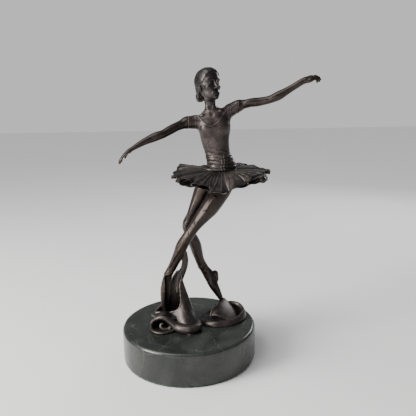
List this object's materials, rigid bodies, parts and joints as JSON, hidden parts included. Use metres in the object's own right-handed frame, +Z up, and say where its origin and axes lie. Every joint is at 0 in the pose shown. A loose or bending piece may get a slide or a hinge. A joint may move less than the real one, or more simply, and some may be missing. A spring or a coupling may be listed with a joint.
{
  "type": "bronze statuette",
  "caption": "Cast dancer on pointe with arms spread and a pleated skirt, standing on a wave and a draped swirl on a round polished stone base.",
  "frame": {"origin": "centre of the felt's underside, on the axis of the round base", "axes": "+Z up, +X to the dancer's left hand, and the dancer faces -Y"},
  "size_m": [0.1715, 0.12, 0.2538],
  "materials": {
    "bronze": "dark brown patina with rubbed edges",
    "base_stone": "polished dark green-grey marble",
    "felt": "matt felt",
    "steel": "plain zinc-plated"
  },
  "bodies": {
    "root": {"marble_base": "base_stone", "felt_pad": "felt", "drape_stud": "steel", "wave_stud": "steel", "drape_washer": "steel", "wave_washer": "steel", "drape_lock_washer": "steel", "wave_lock_washer": "steel", "drape_nut": "steel", "wave_nut": "steel", "drape_swirl": "bronze", "wave_pad": "bronze", "front_leg": "bronze", "rear_leg": "bronze", "hips": "bronze", "skirt": "bronze", "sash": "bronze", "torso": "bronze", "left_arm": "bronze", "right_arm": "bronze", "head": "bronze", "neck_dowel": "steel", "waist_dowel": "steel", "left_shoulder_dowel": "steel", "right_shoulder_dowel": "steel", "left_hip_dowel": "steel", "right_hip_dowel": "steel", "front_toe_pin": "steel", "rear_toe_pin": "steel"}
  },
  "joints": []
}
